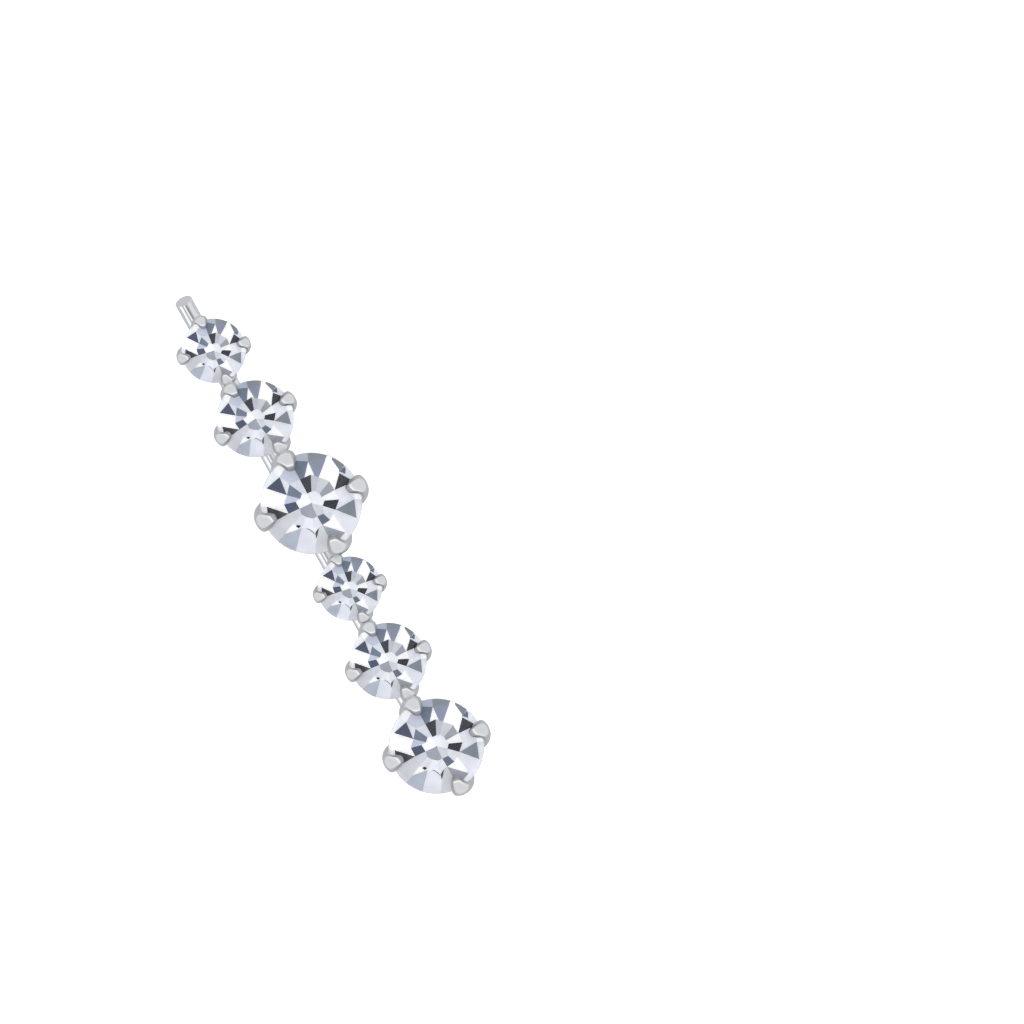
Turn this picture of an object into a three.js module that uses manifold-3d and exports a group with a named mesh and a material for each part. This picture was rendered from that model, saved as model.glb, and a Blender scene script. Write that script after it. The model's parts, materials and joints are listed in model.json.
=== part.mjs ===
// Ear climber: six round cut stones in four-claw settings, joined in one gently bowed row, with an ear
// wire that leaves the back of the lowest setting and turns up behind the row.
//
// The row is laid out flat first: X runs from the wire's free end towards the lowest stone, the stones
// face -Y, and Z goes across the row. Y = 0 is the plane of the settings' backs. The last step turns
// the whole climber on to its side, as it lies on a table. Millimetres throughout.

import * as THREE from 'three';
import { ConvexGeometry } from 'three/addons/geometries/ConvexGeometry.js';
import { mergeVertices } from 'three/addons/utils/BufferGeometryUtils.js';
import Module from 'manifold-3d';

// ---------------------------------------------------------------- driving dimensions

// One row for each stone from the top: where it sits along the wire, how far its centre is bowed
// across the row, its diameter, and how far its setting is turned about its own axis, in degrees.
const STONES = [
  { station: 2.38, bow: 0.10, diameter: 2.57, turn: -7.5 },
  { station: 5.64, bow: 0.21, diameter: 3.08, turn: 9 },
  { station: 9.75, bow: 0.52, diameter: 4.04, turn: 0 },
  { station: 13.57, bow: 0.22, diameter: 2.57, turn: -7 },
  { station: 16.91, bow: 0.14, diameter: 3.06, turn: -1.4 },
  { station: 20.90, bow: 0.13, diameter: 3.90, turn: 1 },
];

const WIRE_DIAMETER = 0.75; // ear wire
const WIRE_BEND = 2.0; // centre-line radius of the turn behind the lowest stone
const WIRE_LEAN = 28.7; // how far the free end turns in towards the row, in degrees
const LEAN_START = 7.0; // station where the free end starts to turn in
const EAR_GAP = 5.0; // clear space between the rail and the ear wire
const RAIL_DIAMETER = 0.5; // rail soldered along the settings' backs
const SEAT_CLEARANCE = 0.05; // between a stone and its setting

// Cut of the stones, in stone radii.
const CUT = { table: 0.54, star: 0.83, crown: 0.30, girdle: 0.04, pavilion: 0.86, lowerHalf: 0.25 };
const TABLE_CORNER = 87.6; // angle of one corner of the table, before the setting's own turn

// Setting, in stone radii. Heights are above the middle of the girdle.
const BACK = -1.15; // the flat back of the cup
const CUP_OUTSIDE = [[0.18, BACK], [0.48, BACK], [0.94, -0.46], [0.94, -0.24]];
const CUP_INSIDE = [[0.70, -0.24], [0.80, -0.46], [0.38, -0.99], [0.18, -0.99]];
const CLAW_ANGLES = [2.6, 82.6, 181.6, 262.6];
const CLAW_PATH = [
  { out: 0.72, up: -0.68, thick: 0.12, wide: 0.28 },
  { out: 0.93, up: -0.40, thick: 0.20, wide: 0.34 },
  { out: 1.07, up: -0.12, thick: 0.21, wide: 0.38 },
  { out: 1.07, up: 0.12, thick: 0.21, wide: 0.40 },
  { out: 0.98, up: 0.27, thick: 0.20, wide: 0.38 },
  { out: 0.84, up: 0.31, thick: 0.15, wide: 0.31 },
  { out: 0.75, up: 0.28, thick: 0.07, wide: 0.16 },
];
const SHOULDER = { span: 21, reach: 0.17, drop: 0.25, inside: 0.88, foot: -0.50 };

const CUP_SIDES = 16;
const BAR_QUARTER_SIDES = 3;
const CLAW_SIDES = 6;
const SHOULDER_STEPS = 2;
const WIRE_STEPS = 36;
const RAIL_STEPS = 12;

const wasm = await Module();
wasm.setup();

// ---------------------------------------------------------------- helpers

const radians = THREE.MathUtils.degToRad;

// A closed three.js geometry as a manifold solid.
function solidFrom(geometry) {
  const bare = geometry.index ? geometry.toNonIndexed() : geometry.clone();
  bare.deleteAttribute('normal');
  bare.deleteAttribute('uv');
  const merged = mergeVertices(bare, 1e-5);
  return new wasm.Manifold(new wasm.Mesh({
    numProp: 3,
    vertProperties: new Float32Array(merged.attributes.position.array),
    triVerts: new Uint32Array(merged.index.array),
  }));
}

// A manifold solid as a three.js geometry.
function geometryFrom(solid) {
  const mesh = solid.getMesh();
  const geometry = new THREE.BufferGeometry();
  geometry.setAttribute('position', new THREE.BufferAttribute(mesh.vertProperties.slice(), 3));
  geometry.setIndex(new THREE.BufferAttribute(mesh.triVerts.slice(), 1));
  geometry.computeVertexNormals();
  return geometry;
}

// A closed skin over a row of convex rings with the same number of points each.
function loftedSolid(rings) {
  const count = rings[0].length;
  const last = (rings.length - 1) * count;
  const index = [];
  for (let ring = 0; ring < rings.length - 1; ring++) {
    for (let side = 0; side < count; side++) {
      const here = ring * count + side;
      const beside = ring * count + (side + 1) % count;
      index.push(here, beside, beside + count, here, beside + count, here + count);
    }
  }
  for (let side = 1; side < count - 1; side++) {
    index.push(0, side + 1, side, last, last + side, last + side + 1);
  }
  const geometry = new THREE.BufferGeometry().setFromPoints(rings.flat());
  geometry.setIndex(index);
  return solidFrom(geometry);
}

// A point given by its angle about the stone's axis, its distance from it and its height.
function polar(angle, out, up) {
  return new THREE.Vector3(out * Math.cos(angle), out * Math.sin(angle), up);
}

// A round bar along a curve.
function barAlong(curve, diameter, steps) {
  const section = new THREE.Shape();
  section.absarc(0, 0, diameter / 2, 0, 2 * Math.PI);
  return new THREE.ExtrudeGeometry(section, {
    extrudePath: curve,
    steps,
    curveSegments: 2 * BAR_QUARTER_SIDES,
  });
}

// ---------------------------------------------------------------- stones

// A round brilliant with its girdle's middle at height 0 and its table upwards. grow makes the shape
// larger all round, for cutting a seat.
function stoneGeometry(radius, turn, grow = 0) {
  const outer = radius + grow;
  const crown = CUT.crown * radius + grow;
  const pavilion = CUT.pavilion * radius + grow;
  const edge = CUT.girdle * radius / 2;
  const table = CUT.table * outer;
  const star = CUT.star * outer;
  const lower = CUT.lowerHalf * outer;
  const half = Math.PI / 8;
  // main facets are planes, so the corners between two neighbours lie on both
  const crownAt = (distance) => edge + crown * (outer - distance * Math.cos(half)) / (outer - table);
  const pavilionAt = (distance) => -edge - pavilion * (1 - distance * Math.cos(half) / outer);
  const points = [new THREE.Vector3(0, 0, -edge - pavilion)];
  for (let corner = 0; corner < 8; corner++) {
    const angle = radians(TABLE_CORNER + turn) + corner * 2 * half;
    points.push(polar(angle, table, edge + crown));
    points.push(polar(angle + half, star, crownAt(star)));
    points.push(polar(angle + half, lower, pavilionAt(lower)));
    for (const height of [edge, -edge]) {
      points.push(polar(angle, outer, height));
      points.push(polar(angle + half, outer, height));
    }
  }
  return new ConvexGeometry(points);
}

// ---------------------------------------------------------------- settings

// The cup: a thin cone with a pierced flat back.
function cupSolid(radius) {
  const profile = [...CUP_OUTSIDE, ...CUP_INSIDE, CUP_OUTSIDE[0]];
  const points = profile.map(([out, up]) => new THREE.Vector2(out * radius, up * radius));
  const cup = new THREE.LatheGeometry(points, CUP_SIDES);
  cup.rotateX(Math.PI / 2);
  return solidFrom(cup);
}

// A claw: an oval bar that climbs the cup, passes the girdle and folds over the crown to a round tip.
function clawSolid(radius, angle) {
  const across = new THREE.Vector3(-Math.sin(angle), Math.cos(angle), 0);
  const rings = CLAW_PATH.map((row, i) => {
    const before = CLAW_PATH[Math.max(i - 1, 0)];
    const after = CLAW_PATH[Math.min(i + 1, CLAW_PATH.length - 1)];
    const along = Math.atan2(after.up - before.up, after.out - before.out);
    const ring = [];
    for (let side = 0; side < CLAW_SIDES; side++) {
      const round = 2 * Math.PI * side / CLAW_SIDES;
      const lift = row.thick / 2 * Math.sin(round);
      const point = polar(angle, row.out - lift * Math.sin(along), row.up + lift * Math.cos(along));
      point.addScaledVector(across, row.wide / 2 * Math.cos(round));
      ring.push(point.multiplyScalar(radius));
    }
    return ring;
  });
  return loftedSolid(rings);
}

// A shoulder: the cup's wall swelling out to meet a claw. side is the way round from the claw.
function shoulderSolid(radius, angle, side) {
  const rings = [];
  for (let step = 0; step <= SHOULDER_STEPS; step++) {
    const share = 0.97 * step / SHOULDER_STEPS;
    const reach = 1 + SHOULDER.reach * Math.sqrt(1 - share * share);
    const top = -0.02 - SHOULDER.drop * share * share;
    const at = angle + side * radians(SHOULDER.span) * share;
    const section = [
      [SHOULDER.inside, SHOULDER.foot + 0.05],
      [0.95, SHOULDER.foot],
      [reach, top - 0.12],
      [reach - 0.04, top],
      [SHOULDER.inside, top],
    ];
    const ring = section.map(([out, up]) => polar(at, out * radius, up * radius));
    rings.push(ring);
  }
  return loftedSolid(side > 0 ? rings.reverse() : rings);
}

// One whole setting round a stone, with the seat cut to the stone's own shape.
function settingSolid({ diameter, turn }) {
  const radius = diameter / 2;
  let setting = cupSolid(radius);
  CLAW_ANGLES.forEach((degrees, i) => {
    const angle = radians(degrees + turn);
    const side = i % 2 === 0 ? 1 : -1; // shoulders face each other across the narrow sides
    setting = setting.add(clawSolid(radius, angle));
    setting = setting.add(shoulderSolid(radius, angle, side));
  });
  return setting.subtract(solidFrom(stoneGeometry(radius, turn, SEAT_CLEARANCE)));
}

// Moves a solid or geometry from its own stone's axes to its place in the row.
function placeInRow({ station, bow, diameter }) {
  const front = BACK * diameter / 2;
  return new THREE.Matrix4().makeRotationX(Math.PI / 2).setPosition(station, front, bow);
}

// ---------------------------------------------------------------- rail and ear wire

// The rail runs along the settings' backs, through all six centres.
function railSolid() {
  const centres = STONES.map(({ station, bow }) => new THREE.Vector3(station, 0, bow));
  return solidFrom(barAlong(new THREE.CatmullRomCurve3(centres), RAIL_DIAMETER, RAIL_STEPS));
}

// An arc in the plane Z = 0.
class FlatArc extends THREE.Curve {
  constructor(centre, radius, from, to) {
    super();
    Object.assign(this, { centre, radius, from, to });
  }

  getPoint(t, target = new THREE.Vector3()) {
    const angle = this.from + (this.to - this.from) * t;
    const x = this.centre.x + this.radius * Math.cos(angle);
    const y = this.centre.y + this.radius * Math.sin(angle);
    return target.set(x, y, 0);
  }
}

// The ear wire leaves the lowest setting's back, turns up behind the row and leans in at its free end.
function wireSolid() {
  const foot = STONES.at(-1).station;
  const depth = RAIL_DIAMETER / 2 + EAR_GAP + WIRE_DIAMETER / 2;
  const lean = radians(WIRE_LEAN);
  const leanRadius = LEAN_START / Math.sin(lean);
  const bendCentre = new THREE.Vector3(foot - WIRE_BEND, depth - WIRE_BEND, 0);
  const leanCentre = new THREE.Vector3(LEAN_START, depth - leanRadius, 0);
  const path = new THREE.CurvePath();
  path.add(new THREE.LineCurve3(new THREE.Vector3(foot, -RAIL_DIAMETER / 2, 0),
    new THREE.Vector3(foot, bendCentre.y, 0)));
  path.add(new FlatArc(bendCentre, WIRE_BEND, 0, Math.PI / 2));
  path.add(new THREE.LineCurve3(new THREE.Vector3(bendCentre.x, depth, 0),
    new THREE.Vector3(LEAN_START, depth, 0)));
  path.add(new FlatArc(leanCentre, leanRadius, Math.PI / 2, Math.PI / 2 + lean));
  return solidFrom(barAlong(path, WIRE_DIAMETER, WIRE_STEPS));
}

// ---------------------------------------------------------------- lying on its side

// The points of a geometry, as vectors.
function pointsOf(geometry) {
  const position = geometry.attributes.position;
  const points = [];
  for (let i = 0; i < position.count; i++) {
    points.push(new THREE.Vector3().fromBufferAttribute(position, i));
  }
  return points;
}

// The turn that brings the lowest points of three pieces on to one level, with the rest above them.
function levelledOn(pieces) {
  const clouds = pieces.map((piece) => pointsOf(piece));
  const turn = new THREE.Quaternion();
  const up = new THREE.Vector3(0, 0, 1);
  for (let pass = 0; pass < 8; pass++) {
    const lowest = clouds.map((cloud) => cloud
      .map((point) => point.clone().applyQuaternion(turn))
      .reduce((low, point) => (point.z < low.z ? point : low)));
    const plane = new THREE.Plane().setFromCoplanarPoints(...lowest);
    const normal = plane.normal.z < 0 ? plane.normal.negate() : plane.normal;
    turn.premultiply(new THREE.Quaternion().setFromUnitVectors(normal, up));
  }
  return turn;
}

// ---------------------------------------------------------------- assembly

const SILVER = { color: 0xd6d9da, roughness: 0.18, metalness: 1 };
const CRYSTAL = { color: 0xe6e9f0, roughness: 0.03, metalness: 0 };

function namedMesh(name, geometry, finish) {
  const mesh = new THREE.Mesh(geometry, new THREE.MeshStandardMaterial(finish));
  mesh.name = name;
  return mesh;
}

const wire = wireSolid();
const settings = STONES.map((stone) => settingSolid(stone).transform(placeInRow(stone).toArray()));
const metal = settings.reduce((sum, setting) => sum.add(setting), railSolid().add(wire));

const climber = new THREE.Group();
climber.add(namedMesh('settings_and_ear_wire', geometryFrom(metal), SILVER));
STONES.forEach((stone, i) => {
  const cut = stoneGeometry(stone.diameter / 2, stone.turn);
  const mesh = namedMesh(`stone_${i + 1}`, cut, CRYSTAL);
  mesh.applyMatrix4(placeInRow(stone));
  climber.add(mesh);
});

// It lies on a side claw of each of the two largest settings and on the ear wire.
const touching = [settings[2], settings[5], wire].map((solid) => geometryFrom(solid));
climber.quaternion.copy(levelledOn(touching));
climber.updateMatrixWorld(true);
const box = new THREE.Box3().setFromObject(climber, true);
const middle = box.getCenter(new THREE.Vector3());
climber.position.set(-middle.x, -middle.y, -box.min.z);

const group = new THREE.Group();
group.add(climber);

export default group;
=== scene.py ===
"""Ear climber: six round stones in polished four-claw settings, on a rail with an ear wire behind it.

The stones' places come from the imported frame, and a size that it doesn't give is a property in one of the
groups below, a named value or a row in a short table. Lengths are metres. A stone and its setting are first
made with a stone radius of 1: X runs along the row towards the lowest stone, Y across it, Z out of the
stone's face.
"""
import json
import math

import bpy
import numpy as np
from bpy.props import FloatProperty, FloatVectorProperty, IntProperty, PointerProperty
from mathutils import Matrix, Vector


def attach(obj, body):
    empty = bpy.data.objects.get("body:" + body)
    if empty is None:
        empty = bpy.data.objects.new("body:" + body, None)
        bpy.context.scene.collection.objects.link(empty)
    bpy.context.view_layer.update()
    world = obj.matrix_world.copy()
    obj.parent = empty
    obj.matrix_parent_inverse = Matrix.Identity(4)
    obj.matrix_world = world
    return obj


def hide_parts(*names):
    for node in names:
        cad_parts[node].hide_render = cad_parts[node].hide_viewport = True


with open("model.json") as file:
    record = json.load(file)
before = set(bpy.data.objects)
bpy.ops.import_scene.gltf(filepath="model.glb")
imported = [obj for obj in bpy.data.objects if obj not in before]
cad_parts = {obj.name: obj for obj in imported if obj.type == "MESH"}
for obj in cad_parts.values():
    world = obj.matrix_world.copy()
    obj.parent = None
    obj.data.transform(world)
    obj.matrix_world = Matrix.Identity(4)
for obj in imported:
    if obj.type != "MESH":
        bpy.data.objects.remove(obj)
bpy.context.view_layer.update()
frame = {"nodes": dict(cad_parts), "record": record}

bl_info = {
    "name": "Ear climber",
    "version": (1, 0, 0),
    "blender": (4, 5, 0),
    "location": "3D View > Sidebar > Climber",
    "description": "Builds an ear climber of claw-set stones on a rail with its ear wire",
    "category": "Add Mesh",
}

MM = 0.001
STONES = [f"stone_{number}" for number in range(1, 7)]
METAL = "settings_and_ear_wire"
WIRE_TIP = "ear_wire_tip"
STONE_SHARP = math.radians(5)  # faces that meet at more than this keep a hard edge
METAL_SHARP = math.radians(50)


# ------------------------------------------------------------------ sizes and colours

class StoneSizes(bpy.types.PropertyGroup):
    """Proportions of the cut, in stone radii."""

    table: FloatProperty(
        name="Table", description="Distance of the table's corners from the axis", default=0.54)
    star: FloatProperty(
        name="Star", description="Distance of the star facets' outer corners from the axis", default=0.83)
    crown: FloatProperty(
        name="Crown", description="Height of the table above the girdle", default=0.30)
    girdle: FloatProperty(
        name="Girdle", description="Thickness of the girdle", default=0.04)
    pavilion: FloatProperty(
        name="Pavilion", description="Depth of the point below the girdle", default=0.86)
    lower: FloatProperty(
        name="Lower halves", description="Distance of the lower facets' inner corners", default=0.25)
    skin: FloatProperty(
        name="Skin", description="Share by which the coloured facets lie inside the clear skin",
        default=0.014)
    arc_steps: IntProperty(
        name="Arc steps", description="Steps of the girdle across half a facet", default=6, min=1)


class SettingSizes(bpy.types.PropertyGroup):
    """Proportions of a setting, in stone radii."""

    back: FloatProperty(
        name="Back", description="Depth of the flat back below the girdle", default=1.15)
    cup_sides: IntProperty(
        name="Cup sides", description="Steps round the cup", default=96, min=12)
    claw_sides: IntProperty(
        name="Claw sides", description="Steps round a claw", default=56, min=14)


class WireSizes(bpy.types.PropertyGroup):
    """The ear wire and the rail behind the settings."""

    wire: FloatProperty(
        name="Wire", description="Diameter of the ear wire", default=0.75 * MM, unit="LENGTH", precision=5)
    bend: FloatProperty(
        name="Bend", description="Centre-line radius of the wire's turn", default=2.0 * MM,
        unit="LENGTH", precision=5)
    gap: FloatProperty(
        name="Ear gap", description="Clear space between the rail and the ear wire", default=5.0 * MM,
        unit="LENGTH", precision=5)
    lean: FloatProperty(
        name="Lean", description="Length over which the free end leans in to its tip", default=7.0 * MM,
        unit="LENGTH", precision=5)
    drift: FloatProperty(
        name="Drift", description="How far the wire's low end lies to the side, away from the bowed stones",
        default=0.065 * MM, unit="LENGTH", precision=6)
    rail: FloatProperty(
        name="Rail", description="Diameter of the rail", default=0.5 * MM, unit="LENGTH", precision=5)
    groove: FloatProperty(
        name="Groove", description="Depth of the drawing lines along the wire", default=0.012 * MM,
        unit="LENGTH", precision=6)


class FinishColours(bpy.types.PropertyGroup):
    """Colours of the finishes."""

    silver: FloatVectorProperty(
        name="Silver", description="Colour of the polished metal", subtype="COLOR", size=4,
        default=(0.80, 0.805, 0.81, 1.0), min=0, max=1)
    floor: FloatVectorProperty(
        name="Floor", description="Colour of the floor", subtype="COLOR", size=4,
        default=(0.94, 0.94, 0.94, 1.0), min=0, max=1)


class StageSizes(bpy.types.PropertyGroup):
    """Camera, floor and light."""

    lens: FloatProperty(
        name="Lens", description="Focal length of the camera, in millimetres", default=1500.0)
    view_width: FloatProperty(
        name="View width", description="Width of the view at the stones", default=41.8 * MM,
        unit="LENGTH", precision=5)
    aim_right: FloatProperty(
        name="Aim right", description="How far the view's middle lies right of the third stone",
        default=8.19 * MM, unit="LENGTH", precision=5)
    aim_down: FloatProperty(
        name="Aim down", description="How far the view's middle lies below the third stone",
        default=0.36 * MM, unit="LENGTH", precision=5)
    roll: FloatProperty(
        name="Roll", description="Angle from the row's line to the right-hand side of the view",
        default=math.radians(60.6), subtype="ANGLE")
    floor_side: FloatProperty(
        name="Floor side", description="Side of the square floor", default=6.0, unit="LENGTH")
    floor_glow: FloatProperty(
        name="Floor glow", description="Brightness that the floor is seen with beyond the light it gets",
        default=0.9)
    light: FloatProperty(
        name="Light", description="Strength of the soft light all round", default=0.72)


GROUPS = {
    "climber_stone": StoneSizes,
    "climber_setting": SettingSizes,
    "climber_wire": WireSizes,
    "climber_colours": FinishColours,
    "climber_stage": StageSizes,
}


# ------------------------------------------------------------------ places, from the frame

TABLE_CORNER = 87.6  # degrees from the row's line to a corner of a table, before the setting's own turn
CLAW_ANGLES = (2.6, 82.6, 181.6, 262.6)  # degrees from the row's line to the claws
# For each stone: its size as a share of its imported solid's, and how many degrees its claws are turned on.
STONE_FIT = (1.0, 1.0, 1.0, 1.0, 1.0, 0.975)
CLAW_TURN = (0.0, 0.0, -0.9, 0.0, 0.0, -2.7)
LEVEL = 0.9999  # cosine between two faces that count as one flat facet
TABLE_DEPTH = 0.01 * MM  # how far below a stone's highest point its table's corners may lie
GIRDLE_SHARE = 0.995  # share of a stone's radius from which a point belongs to the girdle


def unit(vector):
    """The vector at length 1."""
    return vector / np.linalg.norm(vector)


def node_points(node):
    """All corner points of a CAD node, and its triangles."""
    mesh = frame["nodes"][node].data
    points = np.empty(len(mesh.vertices) * 3)
    mesh.vertices.foreach_get("co", points)
    points = points.reshape(-1, 3)
    mesh.calc_loop_triangles()
    corners = np.empty(len(mesh.loop_triangles) * 3, dtype=int)
    mesh.loop_triangles.foreach_get("vertices", corners)
    return points, points[corners.reshape(-1, 3)]


def table_normal(triangles):
    """The direction in which a stone's table faces: that of its largest group of level triangles."""
    cross = np.cross(triangles[:, 1] - triangles[:, 0], triangles[:, 2] - triangles[:, 0])
    area = np.linalg.norm(cross, axis=1)
    facing = cross / np.maximum(area, 1e-20)[:, None]
    level = facing @ facing.T > LEVEL
    return unit(cross[level[np.argmax(level @ area)]].sum(axis=0))


def climber_places():
    """The six stones' centres, radii and turns, and the row's three directions: along, across, front.

    A stone's centre is the middle of its girdle, its radius the girdle's, and its turn is how far the
    table's corner has come round from TABLE_CORNER."""
    clouds = [node_points(node) for node in STONES]
    front = unit(sum(table_normal(triangles) for _, triangles in clouds))
    measured = []
    for points, _ in clouds:
        heights = points @ front
        rim = points[heights > heights.max() - TABLE_DEPTH]
        axis = rim.mean(axis=0)
        spokes = points - axis
        spokes = spokes - np.outer(spokes @ front, front)
        distance = np.linalg.norm(spokes, axis=1)
        girdle = heights[distance > GIRDLE_SHARE * distance.max()]
        centre = axis + ((girdle.min() + girdle.max()) / 2 - axis @ front) * front
        measured.append((centre, distance.max(), rim - axis))
    along = measured[-1][0] - measured[0][0]
    along = unit(along - (along @ front) * front)
    across = np.cross(front, along)
    places = []
    for centre, radius, rim in measured:
        angles = np.degrees(np.arctan2(rim @ across, rim @ along)) - TABLE_CORNER
        turns = (angles + 22.5) % 45 - 22.5
        places.append((centre, radius, math.radians(turns.mean())))
    return places, np.array([along, across, front])


def fitted(number, place, turn_on=0.0):
    """A stone's place at the size that the stone is shown in, turned on by some degrees."""
    centre, radius, turn = place
    return centre, radius * STONE_FIT[number], turn + math.radians(turn_on)


def placed(points, place, axes):
    """Unit-sized points at a stone's place: scaled by its radius, turned about its axis, laid on the row's
    directions and moved to its centre."""
    centre, radius, turn = place
    spin = np.array([[math.cos(turn), math.sin(turn), 0], [-math.sin(turn), math.cos(turn), 0], [0, 0, 1]])
    return (points * radius) @ spin @ axes + centre


# ------------------------------------------------------------------ shapes from arrays

def polar(angle, out, up):
    """Points from an angle about the stone's axis, a distance from it and a height."""
    angle, out, up = np.broadcast_arrays(angle, out, up)
    return np.stack([out * np.cos(angle), out * np.sin(angle), up], axis=-1)


def ring_faces(rings, sides):
    """Faces of a closed skin over rings of points laid one after another, with a face over each end."""
    ring = np.arange(rings - 1)[:, None] * sides
    side = np.arange(sides)[None, :]
    beside = (side + 1) % sides
    quads = np.stack([ring + side, ring + beside, ring + sides + beside, ring + sides + side], axis=-1)
    first = list(range(sides))[::-1]
    last = [(rings - 1) * sides + corner for corner in range(sides)]
    return quads.reshape(-1, 4).tolist() + [first, last]


def joined(parts):
    """One set of points and faces from several, each with its own numbering."""
    points, faces, start = [], [], 0
    for part_points, part_faces in parts:
        points.append(part_points)
        faces += [[start + corner for corner in face] for face in part_faces]
        start += len(part_points)
    return np.concatenate(points), faces


def eased(rows, steps, rounds):
    """Rows of a table joined by straight steps, then rounded off: each pass replaces a row by a quarter of
    each neighbour and half of itself, and the two ends stay."""
    rows = np.asarray(rows, dtype=float)
    at = np.linspace(0, len(rows) - 1, steps)
    rows = np.stack([np.interp(at, np.arange(len(rows)), column) for column in rows.T], axis=1)
    for _ in range(rounds):
        rows[1:-1] = rows[:-2] / 4 + rows[1:-1] / 2 + rows[2:] / 4
    return rows


def looped(rows, steps, rounds):
    """Rows of a table joined into a loop by straight steps, then rounded off in the same way all round."""
    rows = np.asarray(rows, dtype=float)
    at = np.arange(steps) * len(rows) / steps
    closed = np.vstack([rows, rows[:1]])
    loop = np.stack([np.interp(at, np.arange(len(closed)), column) for column in closed.T], axis=1)
    for _ in range(rounds):
        loop = np.roll(loop, 1, axis=0) / 4 + loop / 2 + np.roll(loop, -1, axis=0) / 4
    return loop


def mesh_of(name, points, faces, sharp):
    """A mesh that is smooth except where two faces meet at more than the sharp angle."""
    mesh = bpy.data.meshes.new(name)
    mesh.from_pydata(points.tolist(), [], faces)
    mesh.shade_smooth()
    mesh.set_sharp_from_angle(angle=sharp)
    mesh.update()
    return mesh


def keep_painted_shade(mesh, shade):
    """Keeps the painted highlight and shade at each point, for the metal to read."""
    layer = mesh.attributes.new("shade", "FLOAT", "POINT")
    layer.data.foreach_set("value", shade.astype(np.float32))


def add_piece(name, mesh, material, node):
    """Shows a mesh as a piece that rides on the root and stands for a CAD node."""
    mesh.materials.append(material)
    piece = bpy.data.objects.new(name, mesh)
    bpy.context.scene.collection.objects.link(piece)
    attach(piece, "root")
    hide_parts(node)


# ------------------------------------------------------------------ stones

HALF = math.pi / 8  # half a main facet, seen from the axis

# A stone shows sixteen half sectors, counted from TABLE_CORNER round. Where their cells meet, each line
# between two of them is bent: degrees past its own direction, and distance from the axis. KITE_TIPS has only
# the distances, and STAR_SPLIT says where a star's cells meet, as a share of the way along the table's edge.
HEART_RING = [(3, .235), (0, .25), (-1, .25), (-5, .23), (-4, .21), (-5, .265), (-3, .235), (-10, .315),
              (-2, .255), (0, .30), (0, .295), (1, .31), (-3, .29), (0, .32), (5, .235), (7, .265)]
TABLE_RING = [(2.5, .53), (1, .565), (2, .535), (-3.5, .57), (-1, .52), (0, .57), (0, .51), (-1.5, .54),
              (-2, .50), (0, .55), (-3, .53), (0, .55), (0, .49), (-1, .505), (3, .50), (3.5, .555)]
MAIN_RING = [(-2, .815), (0, .83), (1, .815), (0, .885), (0, .80), (2, .80), (0, .89), (1, .855)]
KITE_TIPS = [.95, .93, .95, .94, .95, .985, .95, .945]
STAR_SPLIT = [.45, .45, .57, .41, .45, .45, .45, .45, .45, .45, .45, .32, .45, .45, .45, .45]

# What each cell shows: painted reflections and shade, the light and dark mirrored in cut crystal, from light
# to dark, and a letter for each of the sixteen.
TONES = {
    "w": (1.00, 1.00, 1.00), "n": (0.94, 0.95, 0.97), "p": (0.89, 0.90, 0.93), "l": (0.79, 0.81, 0.87),
    "s": (0.82, 0.83, 0.85), "m": (0.77, 0.78, 0.82), "c": (0.71, 0.74, 0.79), "f": (0.62, 0.64, 0.68),
    "v": (0.55, 0.58, 0.66), "g": (0.54, 0.57, 0.60), "a": (0.50, 0.53, 0.57), "b": (0.44, 0.49, 0.56),
    "t": (0.38, 0.42, 0.48), "u": (0.28, 0.31, 0.41), "o": (0.28, 0.29, 0.31), "i": (0.20, 0.21, 0.25),
    "k": (0.15, 0.15, 0.19), "x": (0.02, 0.02, 0.03),
}
HEART_TONES = "nnnnwwwwffffssnn"
TABLE_TONES = "fsmipbluspnptpkw"
STAR_INNER_TONES = "wwwwlpwwswpnwwpp"
STAR_OUTER_TONES = "wwvblpwwswpswppp"
KITE_TONES = "iwvbluwoscpsfpap"
RIM_TONES = "pagcwnwnscpsnppw"
BACK_TONES = "gtfbgtfbgtfbgtfb"
# How far things lie under the crown_height of their place: the rim of the funnel under the table, all cells,
# and the flecks. The funnel's lowest point has a height of its own.
HEART_HEIGHT = 0.02
HEART_DIP = 0.16
CELL_DIP = 0.012
FLECK_DIP = 0.004
FLECK_THICK = 0.002
# The flecks, small sparks and shadows in the stone: a tone, then degrees and distance of each corner, down
# one side and back up the other. The fourth and fifth reach out to where the skin's upper halves are lower
# than crown_height, and stand out of the skin there by up to 0.007 and 0.027.
FLECKS = [
    ("x", [(304.5, .552), (306.5, .490), (298.5, .500), (296.6, .548)]),
    ("o", [(349.5, .500), (342.0, .545), (338.5, .594), (338.1, .710), (341.6, .646), (345.6, .553)]),
    ("g", [(319.5, .510), (327.0, .530), (333.5, .581), (338.3, .636), (337.9, .605), (333.9, .552),
           (327.2, .506), (319.1, .498)]),
    ("w", [(132.4, .985), (133.2, .922), (108.6, .810), (111.0, .850), (125.8, .945), (126.5, .985)]),
    ("t", [(105.7, .954), (109.2, .973), (108.5, .834), (101.5, .881)]),
    ("b", [(164.6, .010), (240.6, .018), (360.0, .044), (10.0, .017)]),
]


def tone(letter):
    """A tone as linear colour: each part taken from its screen value to a share of light."""
    return np.append(((np.array(TONES[letter]) + 0.055) / 1.055) ** 2.4, 1.0)


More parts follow.
